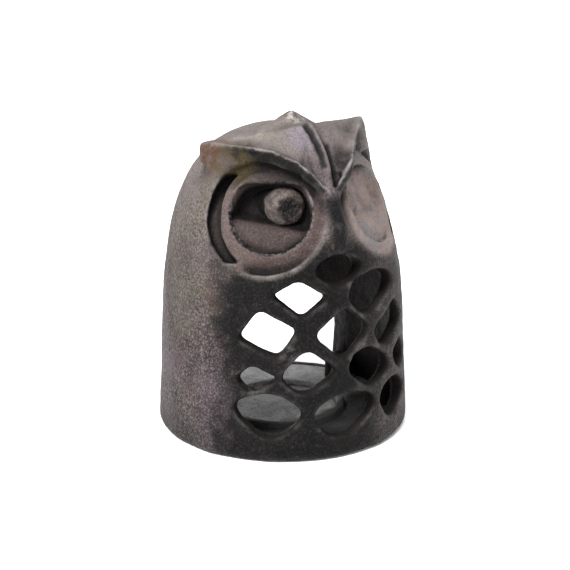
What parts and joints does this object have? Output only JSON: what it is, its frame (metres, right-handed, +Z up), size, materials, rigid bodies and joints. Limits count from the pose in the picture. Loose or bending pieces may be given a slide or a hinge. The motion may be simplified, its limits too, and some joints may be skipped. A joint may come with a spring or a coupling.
{
  "type": "owl tealight lantern",
  "caption": "Hollow cast-iron owl lantern: domed bell body, pierced lattice breast, dished eyes with stud pupils, eared brow crest, open back and a round tealight seat.",
  "frame": {"origin": "centre of the pad's underside, on the surface that the lantern stands on", "axes": "+Z up, -Y the way the owl looks, +X to the right when the owl is seen from in front"},
  "size_m": [0.0898, 0.0898, 0.1182],
  "materials": {
    "cast_body": "rough sand-cast iron with a dark brown and grey patina",
    "pupil_iron": "worn cast iron, smoother on its flank",
    "floor_iron": "grey iron plate, lightly textured",
    "screw_steel": "dull zinc",
    "pad_rubber": "matt black"
  },
  "bodies": {
    "root": {"owl_shell": "cast_body", "left_pupil": "pupil_iron", "right_pupil": "pupil_iron", "base_plate": "floor_iron", "base_screws": "screw_steel", "foot_pad": "pad_rubber"}
  },
  "joints": []
}
